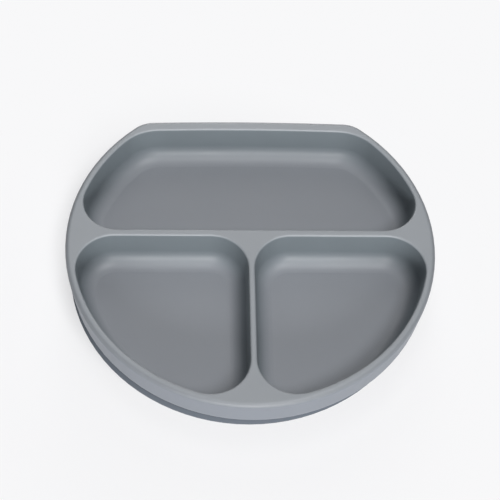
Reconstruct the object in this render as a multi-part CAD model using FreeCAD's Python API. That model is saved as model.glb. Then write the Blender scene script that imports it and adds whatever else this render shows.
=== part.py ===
import FreeCAD, Part
import math
import os

# Divided suction plate for a small child, moulded in one piece of soft silicone.
# Z is up and the long back edge faces +Y. The origin is the middle of the plate's
# box, on the table that the suction skirt stands on. Sizes are in millimetres.

# Outline of the rim, seen from above: a round front and sides with a cut-off back.
rim_radius = 108.3
back_reach = 88.1
back_bow = 1.2
back_bow_chord = 130.0
back_corner_radius = 17.8

# Heights above the table.
plate_height = 29.0
wall_bottom_height = 9.0

# Walls between and around the three bowls, measured at the top.
rim_width = 4.75
back_rim_width = 7.2
bar_width = 4.1
bar_place = 6.7
web_width = 3.4

# The bowls. Their floor lies over the shallow hollow that the plate holds on by.
floor_thickness = 2.6
bowl_draft = 5.0
bowl_floor_radius = 9.5
large_bowl_front_corner = 20.7
large_bowl_back_corner = 29.0
small_bowl_corner = 22.0

# The outer wall, the rounding of its rim, and the small bevels of the other edges.
wall_draft = 5.0
rim_edge_radius = 2.7
bowl_edge_bevel = 0.8
wall_edge_bevel = 0.5

# The suction skirt under the wall, and the groove between them.
skirt_inset = 3.3
skirt_tip = 0.8
skirt_root_height = 4.6
groove_inset = 5.6

# The shallow hollow that the skirt seals against the table.
hollow_height = 2.4
skirt_land = 2.0
hollow_slope = 7.0

# How far a cutting tool passes the face that it cuts.
overshoot = 4.0


def angle_from(start, end):
    """Heading from one point to another, in degrees from +X."""
    return math.degrees(math.atan2(end.y - start.y, end.x - start.x))


def right_of(centre_a, distance_a, centre_b, distance_b):
    """The point to the right at given distances from two centres on the middle line."""
    apart = centre_a.y - centre_b.y
    along = (distance_b ** 2 - distance_a ** 2 + apart ** 2) / (2 * apart)
    across = math.sqrt(distance_b ** 2 - along ** 2)
    return FreeCAD.Vector(across, centre_b.y + along, 0)


def mirrored(point):
    return FreeCAD.Vector(-point.x, point.y, point.z)


# The round front and sides turn about one centre, the bowed back about another, far in
# front. The first is placed so that the plate's box is centred on the origin.
round_centre = FreeCAD.Vector(0, (rim_radius - back_reach) / 2, 0)
back_radius = (back_bow_chord ** 2 / 4 + back_bow ** 2) / (2 * back_bow)
back_centre = FreeCAD.Vector(0, round_centre.y + back_reach - back_radius, 0)
bowl_round = rim_radius - rim_width
bar_back = round_centre.y + bar_place
bar_front = bar_back - bar_width


def point_on(centre, radius, degrees, z):
    turn = math.radians(degrees)
    return FreeCAD.Vector(centre.x + radius * math.cos(turn), centre.y + radius * math.sin(turn), z)


def outline(rounds, inset, z):
    """A closed outline of tangent arcs with straight runs between them, moved in by inset."""
    spans = []
    for centre, radius, start, end in rounds:
        stops = (start, (start + end) / 2, end)
        spans.append([point_on(centre, radius - inset, stop, z) for stop in stops])
    edges = []
    for span, following in zip(spans, spans[1:] + spans[:1]):
        edges.append(Part.Arc(*span).toShape())
        if span[2].distanceToPoint(following[0]) > 0.001:
            edges.append(Part.LineSegment(span[2], following[0]).toShape())
    return Part.Wire(edges)


def stack(rounds, sections):
    """A solid through the same outline at several insets and heights."""
    return Part.makeLoft([outline(rounds, inset, z) for inset, z in sections], True, True)


def edges_at(shape, z):
    """The edges that lie flat at one height."""
    return [edge for edge in shape.Edges if all(abs(v.Z - z) < 0.001 for v in edge.Vertexes)
            and abs(edge.CenterOfMass.z - z) < 0.001]


def rim_rounds():
    """Round front and sides, two back corners and the bowed back."""
    corner = right_of(round_centre, rim_radius - back_corner_radius,
                      back_centre, back_radius - back_corner_radius)
    side = angle_from(round_centre, corner)
    back = angle_from(back_centre, corner)
    return [(round_centre, rim_radius, 180 - side, 360 + side),
            (corner, back_corner_radius, side, back),
            (back_centre, back_radius, back, 180 - back),
            (mirrored(corner), back_corner_radius, 180 - back, 180 - side)]


def large_bowl_rounds():
    """The wide bowl behind the bar, whose sides and back run along the rim."""
    inner_back = back_radius - back_rim_width
    back_corner = right_of(round_centre, bowl_round - large_bowl_back_corner,
                           back_centre, inner_back - large_bowl_back_corner)
    front_y = bar_back + large_bowl_front_corner
    reach = bowl_round - large_bowl_front_corner
    front_x = math.sqrt(reach ** 2 - (front_y - round_centre.y) ** 2)
    front_corner = FreeCAD.Vector(front_x, front_y, 0)
    front = angle_from(round_centre, front_corner)
    side = angle_from(round_centre, back_corner)
    back = angle_from(back_centre, back_corner)
    return [(round_centre, bowl_round, front, side),
            (back_corner, large_bowl_back_corner, side, back),
            (back_centre, inner_back, back, 180 - back),
            (mirrored(back_corner), large_bowl_back_corner, 180 - back, 180 - side),
            (round_centre, bowl_round, 180 - side, 180 - front),
            (mirrored(front_corner), large_bowl_front_corner, 180 - front, 270),
            (front_corner, large_bowl_front_corner, 270, 360 + front)]


def small_bowl_rounds():
    """The right one of the two bowls before the bar, beside the web."""
    reach = bowl_round - small_bowl_corner
    web_x = web_width / 2 + small_bowl_corner
    front_corner = FreeCAD.Vector(web_x, round_centre.y - math.sqrt(reach ** 2 - web_x ** 2), 0)
    bar_y = bar_front - small_bowl_corner
    outer_x = math.sqrt(reach ** 2 - (bar_y - round_centre.y) ** 2)
    outer_corner = FreeCAD.Vector(outer_x, bar_y, 0)
    inner_corner = FreeCAD.Vector(web_x, bar_y, 0)
    front = angle_from(round_centre, front_corner)
    outer = angle_from(round_centre, outer_corner)
    return [(round_centre, bowl_round, front, outer),
            (outer_corner, small_bowl_corner, outer, 90),
            (inner_corner, small_bowl_corner, 90, 180),
            (front_corner, small_bowl_corner, 180, 360 + front)]


def wall_block():
    """The drafted outer wall, filled in, with its rounded rim and bevelled lower edge."""
    wall_inset = (plate_height - wall_bottom_height) * math.tan(math.radians(wall_draft))
    solid = stack(rim_rounds(), [(wall_inset, wall_bottom_height), (0, plate_height)])
    solid = solid.makeFillet(rim_edge_radius, edges_at(solid, plate_height))
    return solid.makeChamfer(wall_edge_bevel, edges_at(solid, wall_bottom_height))


def skirt_block():
    """The flared suction skirt, filled in, and the neck that the groove leaves above it."""
    return stack(rim_rounds(), [(skirt_inset, 0),
                                (skirt_inset, skirt_tip),
                                (groove_inset, skirt_root_height),
                                (groove_inset, wall_bottom_height)])


def bowl(rounds):
    """The space of one bowl: drafted walls that run into the floor in a large radius."""
    lean = math.tan(math.radians(bowl_draft))
    floor = hollow_height + floor_thickness
    space = stack(rounds, [((plate_height - floor) * lean, floor),
                           (-overshoot * lean, plate_height + overshoot)])
    return space.makeFillet(bowl_floor_radius, edges_at(space, floor))


def suction_hollow():
    """The shallow space under the floor, with a sloping edge inside the skirt's land."""
    land = skirt_inset + skirt_land
    return stack(rim_rounds(), [(land, -overshoot),
                                (land, 0),
                                (land + hollow_slope, hollow_height)])


def plate():
    small = bowl(small_bowl_rounds())
    other_small = small.mirror(FreeCAD.Vector(0, 0, 0), FreeCAD.Vector(1, 0, 0))
    bowls = [bowl(large_bowl_rounds()), small, other_small]
    solid = wall_block().fuse(skirt_block()).cut(bowls)
    lips = [edge for edge in edges_at(solid, plate_height)
            if any(edge.distToShape(space)[0] < 0.001 for space in bowls)]
    return solid.makeChamfer(bowl_edge_bevel, lips).cut(suction_hollow())


os.makedirs("parts", exist_ok=True)
plate().exportStep("parts/plate.step")
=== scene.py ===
import bmesh
import bpy
import math
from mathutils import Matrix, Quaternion, Vector


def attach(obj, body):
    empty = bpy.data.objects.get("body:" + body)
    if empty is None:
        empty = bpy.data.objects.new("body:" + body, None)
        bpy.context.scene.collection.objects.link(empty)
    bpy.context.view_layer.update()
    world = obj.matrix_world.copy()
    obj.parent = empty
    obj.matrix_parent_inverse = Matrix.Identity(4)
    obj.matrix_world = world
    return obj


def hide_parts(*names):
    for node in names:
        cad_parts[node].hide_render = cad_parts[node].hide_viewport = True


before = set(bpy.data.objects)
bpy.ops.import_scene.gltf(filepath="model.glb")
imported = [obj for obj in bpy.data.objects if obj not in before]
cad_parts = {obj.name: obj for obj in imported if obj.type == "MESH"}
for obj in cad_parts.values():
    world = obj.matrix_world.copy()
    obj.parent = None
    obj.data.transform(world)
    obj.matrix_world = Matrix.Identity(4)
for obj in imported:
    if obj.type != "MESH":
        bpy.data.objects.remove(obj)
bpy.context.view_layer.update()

# The plate is one moulding of soft silicone with no seams or fittings: a drafted wall, three
# bowls with thin walls between them, and a flared skirt that holds on to the table. Its skin
# is four wall sections, each swept round its outline, with flat faces closing them off.

rim_radius = 0.1083
back_reach = 0.0881
back_bow = 0.0012
back_bow_chord = 0.130
back_corner_radius = 0.0178

rim_height = 0.029
wall_bottom_height = 0.009
wall_draft = 5.0
rim_edge_radius = 0.0027
wall_edge_radius = 0.0006

rim_width = 0.00475
back_rim_width = 0.0072
bar_width = 0.0041
bar_place = 0.0067
web_width = 0.0034

floor_height = 0.005
bowl_draft = 5.0
bowl_edge_radius = 0.0012
bowl_floor_radius = 0.0095
large_bowl_front_corner = 0.0207
large_bowl_back_corner = 0.029
small_bowl_corner = 0.022

skirt_inset = 0.0033
skirt_tip = 0.0008
skirt_tip_radius = 0.00025
skirt_root_height = 0.0046
skirt_bend_radius = 0.0012
groove_inset = 0.0056
groove_radius = 0.0012
skirt_land = 0.002
hollow_slope = 0.007
hollow_height = 0.0024
hollow_radius = 0.0015

# The soft skirt was pressed down this far to the left of the wall above it.
skirt_lean = 0.0019

# Each rounding is divided finely enough to shine smoothly, and a narrow strip beside it
# keeps its shading off the flat faces. The slacks allow for the computer's own rounding when
# heights and counts are compared, and so does the distance over which points are welded.
arc_divisions = 10
strip = 0.00035
rim_strip = 0.0002
outline_step = 0.0013
longest_arc = 45.0
height_slack = strip / 10
weld_distance = strip / 30
count_slack = 0.1


def angle_from(start, end):
    """Heading from one point to another, in degrees from +X."""
    return math.degrees(math.atan2(end.y - start.y, end.x - start.x))


def point_on(centre, radius, degrees):
    turn = math.radians(degrees)
    return centre + radius * Vector((math.cos(turn), math.sin(turn), 0))


def right_of(centre_a, distance_a, centre_b, distance_b):
    """The point to the right at given distances from two centres on the middle line."""
    apart = centre_a.y - centre_b.y
    along = (distance_b ** 2 - distance_a ** 2 + apart ** 2) / (2 * apart)
    across = math.sqrt(distance_b ** 2 - along ** 2)
    return Vector((across, centre_b.y + along, 0))


def mirrored(rounds):
    """The same outline on the other side of the middle line, still anticlockwise."""
    return [(Vector((-centre.x, centre.y, 0)), radius, 180 - end, 180 - start)
            for centre, radius, start, end in reversed(rounds)]


round_centre = Vector((0, (rim_radius - back_reach) / 2, 0))
back_radius = (back_bow_chord ** 2 / 4 + back_bow ** 2) / (2 * back_bow)
back_centre = Vector((0, round_centre.y + back_reach - back_radius, 0))
bowl_round = rim_radius - rim_width
bar_back = round_centre.y + bar_place
bar_front = bar_back - bar_width


def back_corner_round(side_radius, back_edge_radius, corner_radius):
    """The right back corner, between the round side and the bowed back."""
    corner = right_of(round_centre, side_radius - corner_radius,
                      back_centre, back_edge_radius - corner_radius)
    return corner, corner_radius, angle_from(round_centre, corner), angle_from(back_centre, corner)


def rim_rounds():
    corner = back_corner_round(rim_radius, back_radius, back_corner_radius)
    side, back = corner[2:]
    return [(round_centre, rim_radius, 180 - side, 360 + side), corner,
            (back_centre, back_radius, back, 180 - back)] + mirrored([corner])


def large_bowl_rounds():
    """The wide bowl behind the bar, whose sides and back run along the rim."""
    inner_back = back_radius - back_rim_width
    back_corner = back_corner_round(bowl_round, inner_back, large_bowl_back_corner)
    front_y = bar_back + large_bowl_front_corner
    reach = bowl_round - large_bowl_front_corner
    front_x = math.sqrt(reach ** 2 - (front_y - round_centre.y) ** 2)
    front_corner = Vector((front_x, front_y, 0))
    front = angle_from(round_centre, front_corner)
    side, back = back_corner[2:]
    right = [(front_corner, large_bowl_front_corner, 270, 360 + front),
             (round_centre, bowl_round, front, side), back_corner]
    return right + [(back_centre, inner_back, back, 180 - back)] + mirrored(right)


def small_bowl_rounds():
    """The right one of the two bowls before the bar, beside the web."""
    reach = bowl_round - small_bowl_corner
    web_x = web_width / 2 + small_bowl_corner
    bar_y = bar_front - small_bowl_corner
    front_y = round_centre.y - math.sqrt(reach ** 2 - web_x ** 2)
    outer_x = math.sqrt(reach ** 2 - (bar_y - round_centre.y) ** 2)
    front_corner = Vector((web_x, front_y, 0))
    outer_corner = Vector((outer_x, bar_y, 0))
    front = angle_from(round_centre, front_corner)
    outer = angle_from(round_centre, outer_corner)
    return [(round_centre, bowl_round, front, outer),
            (outer_corner, small_bowl_corner, outer, 90),
            (Vector((web_x, bar_y, 0)), small_bowl_corner, 90, 180),
            (front_corner, small_bowl_corner, 180, 360 + front)]


def skin_section():
    """Corners of the outer wall and the underside: outward, up, and the rounding."""
    wall_inset = (rim_height - wall_bottom_height) * math.tan(math.radians(wall_draft))
    land = skirt_inset + skirt_land
    ceiling = land + hollow_slope
    flat_edge = rim_edge_radius * math.tan(math.radians(45 + wall_draft / 2)) + rim_strip
    return [(-flat_edge, rim_height, 0),
            (0, rim_height, rim_edge_radius),
            (-wall_inset, wall_bottom_height, wall_edge_radius),
            (-groove_inset, wall_bottom_height, groove_radius),
            (-groove_inset, skirt_root_height, skirt_bend_radius),
            (-skirt_inset, skirt_tip, skirt_tip_radius),
            (-skirt_inset, 0, skirt_tip_radius),
            (-land, 0, skirt_tip_radius),
            (-ceiling, hollow_height, hollow_radius),
            (-ceiling - hollow_radius, hollow_height, 0)]


def bowl_section():
    """Corners of a bowl's wall, from the top of the wall to the bowl's floor."""
    floor_inset = (rim_height - floor_height) * math.tan(math.radians(bowl_draft))
    flat_edge = bowl_edge_radius * math.tan(math.radians(45 - bowl_draft / 2)) + rim_strip
    return [(flat_edge, rim_height, 0),
            (0, rim_height, bowl_edge_radius),
            (-floor_inset, floor_height, bowl_floor_radius),
            (-floor_inset - bowl_floor_radius, floor_height, 0)]


def handle_reach(radius, turn):
    """How far a handle stands off its point, for an arc of this turn in radians."""
    return 4 / 3 * math.tan(turn / 4) * radius


def outline_knots(rounds):
    """Points of a closed outline with their handles; no handle means a straight run."""
    knots = []
    for centre, radius, start, end in rounds:
        arcs = math.ceil((end - start) / longest_arc)
        step = (end - start) / arcs
        reach = handle_reach(radius, math.radians(step))
        for k in range(arcs + 1):
            place = point_on(centre, radius, start + k * step)
            along = point_on(Vector(), reach, start + k * step + 90)
            before = place - along if k > 0 else None
            after = place + along if k < arcs else None
            if knots and (knots[-1][0] - place).length < strip:
                before = knots.pop()[1]
            knots.append((place, before, after))
    if (knots[-1][0] - knots[0][0]).length < strip:
        before = knots.pop()[1]
        knots[0] = (knots[0][0], before, knots[0][2])
    return knots


def section_knots(corners):
    """Points of an open section with rounded corners, and strips beside the roundings."""
    places = [Vector((outward, -up, 0)) for outward, up, radius in corners]
    knots = [(places[0], None, None)]
    for before, place, after, corner in zip(places, places[1:], places[2:], corners[1:]):
        arriving = (place - before).normalized()
        leaving = (after - place).normalized()
        turn = arriving.angle(leaving)
        setback = math.tan(turn / 2) * corner[2]
        reach = handle_reach(corner[2], turn)
        first = place - arriving * setback
        last = place + leaving * setback
        knots.append((first, None, first + arriving * reach))
        knots.append((last, last - leaving * reach, None))
    knots.append((places[-1], None, None))
    stripped = knots[:1]
    for knot, following in zip(knots, knots[1:]):
        run = following[0] - knot[0]
        if knot[2] is None and run.length > 4 * strip:
            stripped.append((knot[0] + run.normalized() * strip, None, None))
            stripped.append((following[0] - run.normalized() * strip, None, None))
        stripped.append(following)
    return stripped


def draw(lines, knots, closed):
    spline = lines.splines.new("BEZIER")
    spline.bezier_points.add(len(knots) - 1)
    spline.use_cyclic_u = closed
    spline.resolution_u = arc_divisions
    for point, (place, before, after) in zip(spline.bezier_points, knots):
        point.handle_left_type = "VECTOR" if before is None else "FREE"
        point.handle_right_type = "VECTOR" if after is None else "FREE"
        point.co = place
        point.handle_left = place if before is None else before
        point.handle_right = place if after is None else after


plate_lines = bpy.data.curves.new("plate_lines", "CURVE")
plate_lines.dimensions = "3D"
walls = [(rim_rounds(), skin_section()),
         (large_bowl_rounds(), bowl_section()),
         (small_bowl_rounds(), bowl_section()),
         (mirrored(small_bowl_rounds()), bowl_section())]
for rounds, section in walls:
    draw(plate_lines, outline_knots(rounds), True)
    draw(plate_lines, section_knots(section), False)


def new_tree(name, inputs, output):
    """An empty node tree with named inputs and one named geometry output."""
    tree = bpy.data.node_groups.new(name, "GeometryNodeTree")
    for label, kind in inputs:
        tree.interface.new_socket(label, in_out="INPUT", socket_type=kind)
    tree.interface.new_socket(output, in_out="OUTPUT", socket_type="NodeSocketGeometry")
    return tree


def add(tree, kind, inputs, **settings):
    """Adds a node with these settings, and fills or links its inputs by name or place."""
    node = tree.nodes.new(kind)
    for name, value in settings.items():
        setattr(node, name, value)
    for name, value in inputs.items():
        if isinstance(value, bpy.types.NodeSocket):
            tree.links.new(value, node.inputs[name])
        else:
            node.inputs[name].default_value = value
    return node


# Sweeps one of the drawn sections round one of the drawn outlines.
wall_tree = new_tree("wall_round_an_outline",
                     [("Lines", "NodeSocketGeometry"), ("Outline", "NodeSocketFloat"),
                      ("Section", "NodeSocketFloat"), ("Step", "NodeSocketFloat")], "Wall")
given = add(wall_tree, "NodeGroupInput", {}).outputs
number = add(wall_tree, "GeometryNodeInputIndex", {}).outputs[0]


def picked_line(wanted):
    chosen = add(wall_tree, "FunctionNodeCompare",
                 {"A": number, "B": wanted, "Epsilon": count_slack},
                 data_type="FLOAT", operation="EQUAL")
    return add(wall_tree, "GeometryNodeSeparateGeometry",
               {"Geometry": given["Lines"], "Selection": chosen.outputs[0]},
               domain="CURVE").outputs[0]


even_outline = add(wall_tree, "GeometryNodeResampleCurve",
                   {"Curve": picked_line(given["Outline"]), "Length": given["Step"]},
                   mode="LENGTH").outputs[0]
level_outline = add(wall_tree, "GeometryNodeSetCurveNormal", {"Curve": even_outline},
                    mode="Z_UP").outputs[0]
swept = add(wall_tree, "GeometryNodeCurveToMesh",
            {"Curve": level_outline, "Profile Curve": picked_line(given["Section"])})
add(wall_tree, "NodeGroupOutput", {"Wall": swept.outputs[0]})

# Closes the open edges that lie at one height with a flat face.
flat_tree = new_tree("flat_face_at_a_height",
                     [("Walls", "NodeSocketGeometry"), ("Height", "NodeSocketFloat")], "Face")
given = add(flat_tree, "NodeGroupInput", {}).outputs
place = add(flat_tree, "GeometryNodeInputPosition", {}).outputs[0]
height = add(flat_tree, "ShaderNodeSeparateXYZ", {"Vector": place}).outputs["Z"]
level = add(flat_tree, "FunctionNodeCompare",
            {"A": height, "B": given["Height"], "Epsilon": height_slack},
            data_type="FLOAT", operation="EQUAL").outputs[0]
beside = add(flat_tree, "GeometryNodeInputMeshEdgeNeighbors", {}).outputs[0]
open_edge = add(flat_tree, "FunctionNodeCompare",
                {"A": beside, "B": 1.0, "Epsilon": count_slack},
                data_type="FLOAT", operation="EQUAL").outputs[0]
both = add(flat_tree, "FunctionNodeBooleanMath", {0: level, 1: open_edge}, operation="AND")
edge_lines = add(flat_tree, "GeometryNodeMeshToCurve",
                 {"Mesh": given["Walls"], "Selection": both.outputs[0]}).outputs[0]
face = add(flat_tree, "GeometryNodeFillCurve", {"Curve": edge_lines}, mode="TRIANGLES").outputs[0]
lift = add(flat_tree, "ShaderNodeCombineXYZ", {"Z": given["Height"]}).outputs[0]
raised = add(flat_tree, "GeometryNodeSetPosition", {"Geometry": face, "Offset": lift})
add(flat_tree, "NodeGroupOutput", {"Face": raised.outputs[0]})

# Joins the four walls, leans the skirt, marks the outside for its own tones, and closes the
# flat faces of the rim, the floors and the hollow.
plate_tree = new_tree("plate_skin",
                      [("Lines", "NodeSocketGeometry"), ("Step", "NodeSocketFloat"),
                       ("Rim height", "NodeSocketFloat"), ("Floor height", "NodeSocketFloat"),
                       ("Hollow height", "NodeSocketFloat"),
                       ("Material", "NodeSocketMaterial")], "Plate")
given = add(plate_tree, "NodeGroupInput", {}).outputs
joined_walls = add(plate_tree, "GeometryNodeJoinGeometry", {})
for wall in range(len(walls)):
    swept = add(plate_tree, "GeometryNodeGroup", {}, node_tree=wall_tree)
    plate_tree.links.new(given["Lines"], swept.inputs["Lines"])
    plate_tree.links.new(given["Step"], swept.inputs["Step"])
    swept.inputs["Outline"].default_value = 2 * wall
    swept.inputs["Section"].default_value = 2 * wall + 1
    made = swept.outputs[0]
    if wall == 0:
        place = add(plate_tree, "GeometryNodeInputPosition", {}).outputs[0]
        height = add(plate_tree, "ShaderNodeSeparateXYZ", {"Vector": place}).outputs["Z"]
        aside = add(plate_tree, "ShaderNodeMapRange",
                    {"Value": height, "From Min": skirt_root_height,
                     "From Max": wall_bottom_height, "To Min": -skirt_lean, "To Max": 0.0},
                    interpolation_type="SMOOTHSTEP").outputs[0]
        lean = add(plate_tree, "ShaderNodeCombineXYZ", {"X": aside}).outputs[0]
        made = add(plate_tree, "GeometryNodeSetPosition",
                   {"Geometry": made, "Offset": lean}).outputs[0]
        made = add(plate_tree, "GeometryNodeStoreNamedAttribute",
                   {"Geometry": made, "Name": "outside", "Value": 1.0},
                   data_type="FLOAT", domain="POINT").outputs[0]
    plate_tree.links.new(made, joined_walls.inputs[0])
skin = add(plate_tree, "GeometryNodeJoinGeometry", {"Geometry": joined_walls.outputs[0]})
for name in ("Rim height", "Floor height", "Hollow height"):
    face = add(plate_tree, "GeometryNodeGroup", {}, node_tree=flat_tree)
    plate_tree.links.new(joined_walls.outputs[0], face.inputs["Walls"])
    plate_tree.links.new(given[name], face.inputs["Height"])
    plate_tree.links.new(face.outputs[0], skin.inputs[0])
closed = add(plate_tree, "GeometryNodeMergeByDistance",
             {"Geometry": skin.outputs[0], "Distance": weld_distance}).outputs[0]
smooth = add(plate_tree, "GeometryNodeSetShadeSmooth", {"Geometry": closed}).outputs[0]
real = add(plate_tree, "GeometryNodeRealizeInstances", {"Geometry": smooth}).outputs[0]
coated = add(plate_tree, "GeometryNodeSetMaterial",
             {"Geometry": real, "Material": given["Material"]}).outputs[0]
add(plate_tree, "NodeGroupOutput", {"Plate": coated})

# Satin grey silicone, with light and shade painted into its tone by height. Inside, the bowls'
# walls and the corners above their floors are painted darker as shade, the bowls' lips carry a
# painted highlight, and the flat rim is painted paler as light. Outside, the wall is painted paler
# towards its bottom as light, the rim's rounding darker as shade against its highlight, the groove
# under the wall holds a painted shadow, and the foot is matt and painted dark as shade. A barely
# visible mottle and a fine grain go over it.
floor_tone = (0.190, 0.203, 0.225, 1)
# The corners between the floors and the walls are painted a little darker: painted shade.
corner_shade_tone = (0.151, 0.170, 0.187, 1)
# The bowls' walls are painted much darker than the floors: painted shade.
wall_shade_tone = (0.118, 0.139, 0.153, 1)
# The foot is painted dark, as the shade under the overhanging wall: painted shade.
foot_shade_tone = (0.078, 0.091, 0.110, 1)
# The groove under the outer wall is painted nearly black: painted shadow.
groove_shadow_tone = (0.020, 0.024, 0.030, 1)
# The outer wall is painted paler towards its bottom: painted light.
outer_foot_light_tone = (0.171, 0.185, 0.210, 1)
outer_tone = (0.151, 0.166, 0.191, 1)
# The rim's outer rounding is painted darker, against the lamps' highlight on it: painted shade.
edge_shade_tone = (0.147, 0.159, 0.174, 1)
# The lips along the bowls' top edges are painted paler: painted highlight.
lip_highlight_tone = (0.205, 0.222, 0.239, 1)
# The flat rim is painted paler than the floors: painted light.
rim_light_tone = (0.211, 0.226, 0.243, 1)
corner_shade_height = 0.008325
rounding_height = rim_height - rim_edge_radius
edge_low = rim_height - bowl_edge_radius
edge_high = rim_height - bowl_edge_radius / 3
# Over the first height the foot's painted shade deepens into the groove's painted shadow; over the
# second that painted shadow ends under the wall.
foot_shade_fade = 0.0014
groove_shadow_fade = 0.0002
# These ramps give the silicone's grey by height, with the painted shade, shadow, highlight and
# light above.
inside_tones = [(hollow_height, foot_shade_tone), (floor_height, floor_tone),
                (corner_shade_height, corner_shade_tone),
                (floor_height + bowl_floor_radius, wall_shade_tone),
                (edge_low, wall_shade_tone), (edge_high, lip_highlight_tone), (rim_height, rim_light_tone)]
outside_tones = [(skirt_root_height - foot_shade_fade, foot_shade_tone), (skirt_root_height, groove_shadow_tone),
                 (wall_bottom_height - groove_shadow_fade, groove_shadow_tone),
                 (wall_bottom_height, outer_foot_light_tone),
                 (wall_bottom_height + rim_edge_radius, outer_tone),
                 (rounding_height, outer_tone), (edge_low, edge_shade_tone),
                 (edge_high, edge_shade_tone), (rim_height, rim_light_tone)]
mottle_size = 0.02
mottle_detail = 4.0
mottle_share = 0.02
mottle_low = 0.3
mottle_high = 0.7
grain_size = 0.0009
grain_detail = 2.0
grain_height = 0.00004
smoothest_roughness = 0.46
roughest_roughness = 0.52
rim_roughness = 0.5
foot_roughness = 0.9
silicone_specular = 0.55

silicone = bpy.data.materials.new("satin_silicone")
silicone.use_nodes = True
satin = silicone.node_tree
shader = satin.nodes["Principled BSDF"]
shader.inputs["Specular IOR Level"].default_value = silicone_specular
place = add(satin, "ShaderNodeTexCoord", {}).outputs["Object"]
up = add(satin, "ShaderNodeSeparateXYZ", {"Vector": place}).outputs["Z"]
height = add(satin, "ShaderNodeMapRange", {"Value": up, "From Max": rim_height}).outputs[0]


def tones_by_height(tones):
    """The silicone's tone at each height with its painted light and shade, from these heights and
    tones.
    """
    ramp = add(satin, "ShaderNodeValToRGB", {"Fac": height})
    stops = ramp.color_ramp.elements
    for number, (at, tone) in enumerate(tones):
        stop = stops[number] if number < 2 else stops.new(at / rim_height)
        stop.position = at / rim_height
        stop.color = tone
    return ramp.outputs[0]


outside = add(satin, "ShaderNodeAttribute", {}, attribute_name="outside").outputs["Fac"]
tones = add(satin, "ShaderNodeMixRGB",
            {"Fac": outside, "Color1": tones_by_height(inside_tones),
             "Color2": tones_by_height(outside_tones)}).outputs[0]
mottle = add(satin, "ShaderNodeTexNoise",
             {"Vector": place, "Scale": 1 / mottle_size, "Detail": mottle_detail}).outputs[0]
uneven = add(satin, "ShaderNodeMapRange",
             {"Value": mottle, "From Min": mottle_low, "From Max": mottle_high,
              "To Min": 1 - mottle_share, "To Max": 1 + mottle_share}).outputs[0]
mottled = add(satin, "ShaderNodeVectorMath",
              {"Vector": tones, "Scale": uneven}, operation="SCALE").outputs[0]
satin.links.new(mottled, shader.inputs["Base Color"])
satin_share = add(satin, "ShaderNodeMapRange",
                  {"Value": mottle, "From Min": mottle_low, "From Max": mottle_high,
                   "To Min": smoothest_roughness, "To Max": roughest_roughness}).outputs[0]
matt_foot = add(satin, "ShaderNodeMapRange",
                {"Value": up, "From Min": skirt_root_height, "From Max": floor_height,
                 "To Min": foot_roughness, "To Max": satin_share}).outputs[0]
roughness = add(satin, "ShaderNodeMapRange",
                {"Value": up, "From Min": rounding_height, "From Max": edge_low,
                 "To Min": matt_foot, "To Max": rim_roughness},
                interpolation_type="SMOOTHSTEP").outputs[0]
satin.links.new(roughness, shader.inputs["Roughness"])
grain = add(satin, "ShaderNodeTexNoise",
            {"Vector": place, "Scale": 1 / grain_size, "Detail": grain_detail}).outputs[0]
bump = add(satin, "ShaderNodeBump", {"Height": grain, "Distance": grain_height}).outputs[0]
satin.links.new(bump, shader.inputs["Normal"])

plate_maker = bpy.data.objects.new("plate_maker", plate_lines)
bpy.context.scene.collection.objects.link(plate_maker)
modifier = plate_maker.modifiers.new("plate_skin", "NODES")
modifier.node_group = plate_tree
sizes = {"Step": outline_step, "Rim height": rim_height, "Floor height": floor_height,
         "Hollow height": hollow_height, "Material": silicone}
for socket in plate_tree.interface.items_tree:
    if socket.name in sizes:
        modifier[socket.identifier] = sizes[socket.name]
graph = bpy.context.evaluated_depsgraph_get()
plate_mesh = bpy.data.meshes.new_from_object(plate_maker.evaluated_get(graph))
bpy.data.objects.remove(plate_maker)

shell = bmesh.new()
shell.from_mesh(plate_mesh)
bmesh.ops.recalc_face_normals(shell, faces=shell.faces)
shell.to_mesh(plate_mesh)
shell.free()

plate = bpy.data.objects.new("silicone_plate", plate_mesh)
bpy.context.scene.collection.objects.link(plate)
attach(plate, "root")
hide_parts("plate")

# The table top is plain white. Round the plate it is partly lit, so that it keeps the plate's
# shadow, most of all at the front left. Further out it fades into an even pale background.
table_reach = 4.0
table_white = (0.80, 0.80, 0.81, 1)
table_roughness = 0.8
table_specular = 0.2
background = (0.9375, 0.9375, 0.9475, 1)
shadow_centre = (-0.03, -0.035, 0)
fade_start = 0.11
fade_end = 0.19
near_share = 0.62


def show_background(tree, lit, share):
    """Shows the background to the camera and in gloss, by this share, and else the lit shader."""
    seen = add(tree, "ShaderNodeLightPath", {}).outputs
    rays = add(tree, "ShaderNodeMath", {0: seen["Is Camera Ray"], 1: seen["Is Glossy Ray"]},
               operation="MAXIMUM").outputs[0]
    rays = add(tree, "ShaderNodeMath", {0: rays, 1: seen["Is Transmission Ray"]},
               operation="MAXIMUM").outputs[0]
    shown = add(tree, "ShaderNodeMath", {0: rays, 1: share}, operation="MULTIPLY").outputs[0]
    pale = add(tree, "ShaderNodeEmission", {"Color": background}).outputs[0]
    return add(tree, "ShaderNodeMixShader", {0: shown, 1: lit, 2: pale}).outputs[0]


white = bpy.data.materials.new("white_table")
white.use_nodes = True
top = white.node_tree
shader = top.nodes["Principled BSDF"]
shader.inputs["Base Color"].default_value = table_white
shader.inputs["Roughness"].default_value = table_roughness
shader.inputs["Specular IOR Level"].default_value = table_specular
place = add(top, "ShaderNodeTexCoord", {}).outputs["Object"]
away = add(top, "ShaderNodeVectorMath", {0: place, 1: shadow_centre},
           operation="DISTANCE").outputs["Value"]
faded = add(top, "ShaderNodeMapRange",
            {"Value": away, "From Min": fade_start, "From Max": fade_end, "To Min": near_share},
            interpolation_type="SMOOTHSTEP").outputs[0]
surface = top.nodes["Material Output"].inputs["Surface"]
top.links.new(show_background(top, shader.outputs[0], faded), surface)

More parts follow.
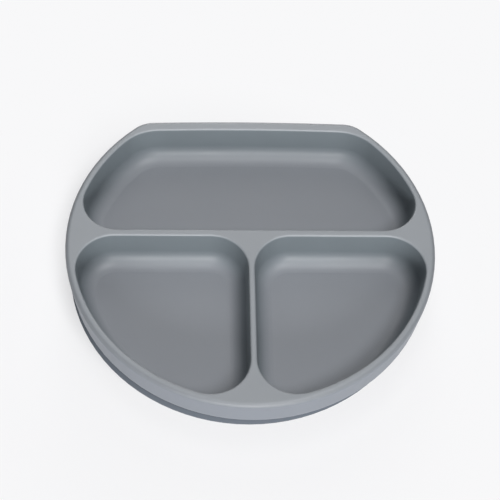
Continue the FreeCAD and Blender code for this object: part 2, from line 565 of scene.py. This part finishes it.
table_mesh = bpy.data.meshes.new("table")
table_mesh.from_pydata([(-table_reach, -table_reach, 0), (table_reach, -table_reach, 0),
                        (table_reach, table_reach, 0), (-table_reach, table_reach, 0)],
                       [], [(0, 1, 2, 3)])
table_mesh.materials.append(white)
table = bpy.data.objects.new("table", table_mesh)
bpy.context.scene.collection.objects.link(table)

# The studio is six softboxes, three far in front and three close behind, and a faint glow
# from the room. The key stands to the right, and the others in line with the plate.
room_glow = 0.02

world = bpy.data.worlds.new("studio")
bpy.context.scene.world = world
world.use_nodes = True
glow = world.node_tree.nodes["Background"]
glow.inputs["Color"].default_value = (1, 1, 1, 1)
glow.inputs["Strength"].default_value = room_glow
surface = world.node_tree.nodes["World Output"].inputs["Surface"]
world.node_tree.links.new(show_background(world.node_tree, glow.outputs[0], 1.0), surface)


def softbox(name, azimuth, elevation, distance, size, watts):
    """A round softbox that faces the plate; azimuth turns from the front to the right."""
    lamp = bpy.data.lights.new(name, "AREA")
    lamp.shape = "DISK"
    lamp.size = size
    lamp.energy = watts
    box = bpy.data.objects.new(name, lamp)
    bpy.context.scene.collection.objects.link(box)
    turn = math.radians(azimuth)
    rise = math.radians(elevation)
    away = Vector((math.sin(turn) * math.cos(rise), -math.cos(turn) * math.cos(rise),
                   math.sin(rise)))
    box.location = away * distance
    box.rotation_mode = "QUATERNION"
    box.rotation_quaternion = away.to_track_quat("Z", "Y")


softbox("front_key_softbox", 30, 60, 6.0, 2.4, 236)
softbox("front_strip", 0, 20, 6.0, 1.6, 165)
softbox("low_front_card", 0, 12, 6.0, 3.6, 275)
softbox("top_back_softbox", 180, 70, 1.5, 0.6, 3.4)
softbox("back_softbox", 180, 40, 0.7, 0.28, 0.57)
softbox("low_back_card", 180, 15, 1.0, 0.4, 2.9)

# The camera stands where the photograph was taken from.
view_azimuth = -4.626
view_elevation = 57.139
camera_roll = 4.163
camera_distance = 0.7636
camera_aim = Vector((-0.00082, 0.0026, 0.029))
camera_lens = 94.68
azimuth = math.radians(view_azimuth)
elevation = math.radians(view_elevation)
towards_camera = Vector((math.sin(azimuth) * math.cos(elevation),
                         -math.cos(azimuth) * math.cos(elevation), math.sin(elevation)))
camera = bpy.data.objects.new("camera", bpy.data.cameras.new("camera"))
bpy.context.scene.collection.objects.link(camera)
camera.data.lens = camera_lens
camera.location = camera_aim + towards_camera * camera_distance
camera.rotation_mode = "QUATERNION"
level = towards_camera.to_track_quat("Z", "Y")
camera.rotation_quaternion = level @ Quaternion((0, 0, 1), math.radians(camera_roll))
bpy.context.scene.camera = camera

bpy.context.scene.view_settings.view_transform = "Standard"
